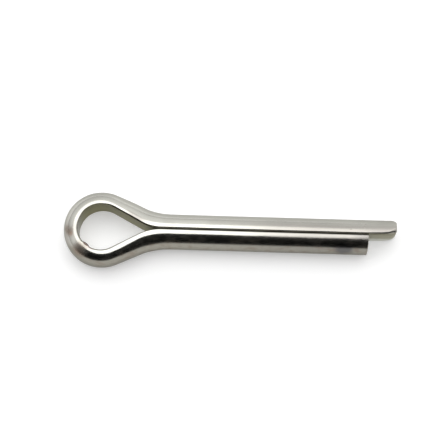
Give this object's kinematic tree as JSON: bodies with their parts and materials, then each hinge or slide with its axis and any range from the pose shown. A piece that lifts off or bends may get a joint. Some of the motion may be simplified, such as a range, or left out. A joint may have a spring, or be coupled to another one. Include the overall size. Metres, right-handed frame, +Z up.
{
  "type": "cotter pin",
  "caption": "Split cotter pin of half-round steel wire, folded flat to flat into a round shank with an eye at the fold and one leg longer than the other.",
  "frame": {"origin": "on the shank's axis at the root, where the round shank begins and the wire swells out towards the eye", "axes": "+X along the shank from the eye to the tips, +Y across the loop towards the long leg's side, +Z up, with the pin lying on its side"},
  "size_m": [0.0273, 0.0062, 0.0028],
  "materials": {
    "steel_wire": "bright drawn steel wire, half gloss, with faint lengthwise drawing lines, a rust stain at the eye's crown and a burr on the eye's inner edge"
  },
  "bodies": {
    "root": {"cotter_pin": "steel_wire"}
  },
  "joints": []
}
